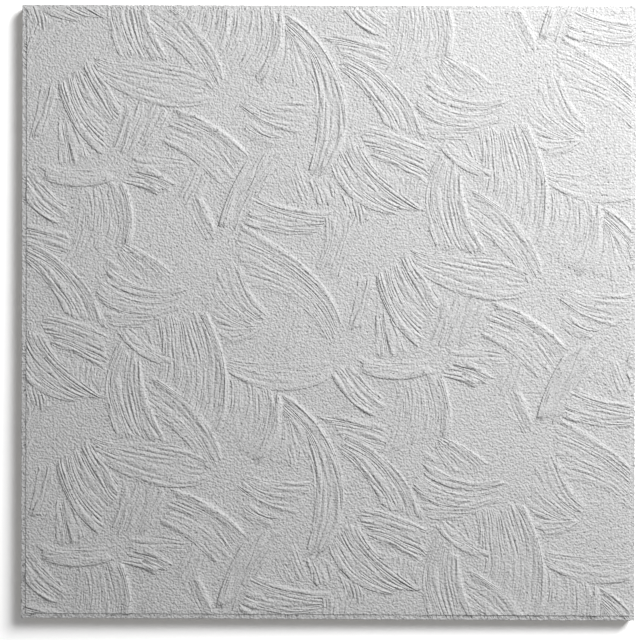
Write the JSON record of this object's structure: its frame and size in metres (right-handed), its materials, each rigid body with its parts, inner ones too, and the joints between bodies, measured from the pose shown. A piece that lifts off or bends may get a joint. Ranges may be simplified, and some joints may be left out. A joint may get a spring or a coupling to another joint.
{
  "type": "ceiling tile",
  "caption": "Square white lay-in ceiling tile with a brushed-plaster relief face that stands proud of a narrow ledge all round, to hang in a suspended ceiling grid.",
  "frame": {"origin": "centre of the back face, the face that lies on the floor", "axes": "+Z out of the decorated face, X and Y along the tile's straight edges; +Y is the top of the picture"},
  "size_m": [0.603, 0.603, 0.0159],
  "materials": {
    "painted_fibre": "matte"
  },
  "bodies": {
    "root": {"ceiling_tile": "painted_fibre"}
  },
  "joints": []
}
